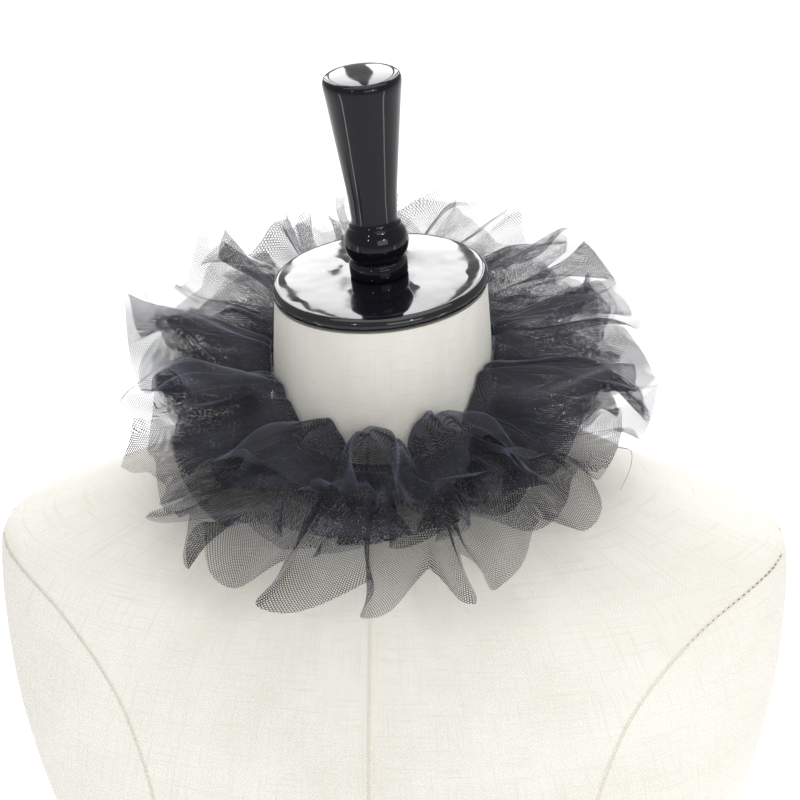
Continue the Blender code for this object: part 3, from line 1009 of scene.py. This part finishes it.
def makeStrip(strip):
    lines = [layFlutes(strip["upper"], strip["seed"]), layFlutes(strip["lower"], strip["seed"] + 1)]
    base = chooseColumns(lines)
    upperRows, upperCovers, upperWidth = halfStrip(strip, strip["upper"], 1, lines[0], base)
    lowerRows, lowerCovers, lowerWidth = halfStrip(strip, strip["lower"], -1, lines[1], base)
    points = np.concatenate(lowerRows[:0:-1] + upperRows)
    cover = np.concatenate(lowerCovers[:0:-1] + upperCovers)
    liftOffTheBody(points)
    stride = len(base)
    rowCount = 2 * len(upperRows) - 1
    # threads are round, so a steep flank shows them closer together
    grid = points.reshape(rowCount, stride, 3)
    normals = np.cross(np.gradient(grid, axis=1), np.gradient(grid, axis=0))
    level = np.abs(normals[..., 2]) / np.maximum(np.linalg.norm(normals, axis=2), 1e-12)
    cover = 1 - (1 - cover) ** (1 / np.clip(level, ruff["steepest"], 1.0).ravel())
    cover = np.clip(cover, 0.0, 0.97)
    first = np.arange(rowCount - 1)[:, None] * stride + np.arange(stride - 1)[None, :]
    faces = np.stack([first, first + 1, first + 1 + stride, first + stride], axis=-1).reshape(-1, 4)
    outs = np.array(ruff["outs"])
    signed = np.concatenate([-outs[:0:-1], outs])
    upperSide = np.arange(rowCount - 1) >= len(upperRows) - 1
    cornerRow = faces // stride
    cornerColumn = faces % stride
    onUpper = np.repeat(upperSide, stride - 1)[:, None]
    mapped = int(np.searchsorted(outs, ruff["mapRow"]))
    upperWay = alongRow(upperRows[mapped])
    lowerWay = alongRow(lowerRows[mapped])
    u = np.where(onUpper, upperWay[cornerColumn], lowerWay[cornerColumn])
    v = signed[cornerRow] * np.where(onUpper, upperWidth[cornerColumn], lowerWidth[cornerColumn])
    piece = clothMesh(strip["name"], points, faces, np.stack([u, v], axis=-1).reshape(-1, 2), cover)
    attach(piece, "root")
    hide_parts(strip["node"])
    area = sum(polygon.area for polygon in piece.data.polygons)
    stripWidth = float(upperWidth.mean() + lowerWidth.mean())
    cutLength = float(np.mean([alongRow(row)[-1] for row in upperRows[10:] + lowerRows[10:]]))
    print(strip["name"], "cut", round(cutLength, 3), "by", round(stripWidth, 4), "share of the flat area",
          round(area / (stripWidth * cutLength), 2))
    return piece, stripWidth, cutLength


for strip in strips:
    ruffle, stripWidth, stripLength = makeStrip(strip)
print("ruffles made")

# Loose threads that hang off the raw edges. Each starts on one: points by azimuth (degrees), distance from
# the neck's axis and height.
looseThreads = {
    "radius": 0.00017,
    "step": 0.0025,
    "routes": {
        "threadLeft": [
            (-83.4, 0.1195, 0.6123), (-87, 0.128, 0.606), (-91, 0.1315, 0.598), (-94, 0.1305, 0.586)],
        "threadLeftLow": [
            (-80.8, 0.1149, 0.5963), (-76, 0.131, 0.588), (-73, 0.134, 0.577), (-74, 0.133, 0.566)],
        "threadLeftHigh": [(-98, 0.1173, 0.6122), (-103, 0.129, 0.617), (-107, 0.131, 0.607)],
        "threadRight": [(74.1, 0.1325, 0.5948), (77, 0.136, 0.595), (80, 0.1375, 0.596)],
        "threadRightLow": [
            (66.3, 0.1291, 0.5776), (69, 0.1335, 0.5735), (68, 0.134, 0.565), (65, 0.132, 0.556)],
        "threadBack": [(152.4, 0.1169, 0.6315), (154, 0.128, 0.624), (159, 0.130, 0.614)],
    },
}


def makeThread(name, rows, settings):
    spots = [Vector((r * math.sin(math.radians(a)), -r * math.cos(math.radians(a)), z)) for a, r, z in rows]
    line = smoothRoute(spots, settings["step"])
    points = []
    for place, spot in enumerate(line):
        way = (line[min(place + 1, len(line) - 1)] - line[max(place - 1, 0)]).normalized()
        side = way.orthogonal().normalized()
        other = way.cross(side)
        size = settings["radius"] * (1.0 - 0.5 * place / len(line))
        for turn in (0, 1, 2, 3):
            angle = turn * math.pi / 2
            points.append(spot + (side * math.cos(angle) + other * math.sin(angle)) * size)
    thread = newPiece(name, points, tubeFaces(0, len(line), 4), looseThread)
    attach(thread, "root")


for threadName, threadRows in looseThreads["routes"].items():
    makeThread(threadName, threadRows, looseThreads)
print("loose threads made")

# Studio: a pale floor, bright panels behind that the cap mirrors, a wide one overhead and one in front,
# two small ones that spark on the handle, and two low strips that it mirrors as upright streaks.
studio = {
    "worldStrength": 0.55,
    "floorSize": 14.0,
    "floorColour": (0.93, 0.93, 0.935),
    "floorRoughness": 0.9,
    "floorGlow": 0.34,
    "blinds": {"xs": [-1.00, -0.74, -0.46, -0.19, 0.09, 0.38], "y": 1.9, "z": 1.62, "size": (0.19, 1.25),
               "power": 4.7},
    # each panel's place, size and power in watts
    "panels": {
        "panelAbove": ((0.1, 0.15, 2.7), (2.4, 2.2), 27),
        "panelFront": ((1.3, -2.3, 1.5), (1.8, 1.0), 17),
        "sparkLeft": ((-0.8, -1.7, 1.7), (0.10, 0.10), 2.2),
        "sparkRight": ((0.95, -1.3, 1.5), (0.10, 0.10), 2.2),
        "stripLeft": ((-0.80, -0.42, 0.28), (0.05, 0.5), 0.5),
        "stripRight": ((0.86, -0.28, 0.28), (0.07, 0.5), 0.5),
    },
    "aim": Vector((0.0, 0.0, 0.60)),
}


def makeStudio(settings):
    deselectAll()
    bpy.ops.mesh.primitive_plane_add(size=settings["floorSize"], location=(0, 0, 0))
    floor = bpy.context.object
    floor.name = "studioFloor"
    paper = plainMaterial(
        "palePaper", settings["floorColour"], settings["floorRoughness"], 3.0, settings["floorGlow"]
    )
    floor.data.materials.append(paper)
    blinds = settings["blinds"]
    panels = dict(settings["panels"])
    for count, x in enumerate(blinds["xs"]):
        panels["blind" + str(count)] = ((x, blinds["y"], blinds["z"]), blinds["size"], blinds["power"])
    for name, (place, size, power) in panels.items():
        deselectAll()
        bpy.ops.object.light_add(type="AREA", location=place)
        light = bpy.context.object
        light.name = name
        light.data.shape = "RECTANGLE"
        light.data.size, light.data.size_y = size
        light.data.energy = power
        light.rotation_euler = (settings["aim"] - Vector(place)).to_track_quat("-Z", "Y").to_euler()
        light.visible_camera = False
    world = bpy.data.worlds.new("studioWorld")
    world.use_nodes = True
    sky = world.node_tree.nodes["Background"]
    setSockets(sky, {"Color": (1.0, 1.0, 1.0, 1.0), "Strength": settings["worldStrength"]})
    scene = bpy.context.scene
    scene.world = world
    scene.view_settings.view_transform = "Standard"
    scene.cycles.transparent_max_bounces = 24


makeStudio(studio)
print("studio lit")
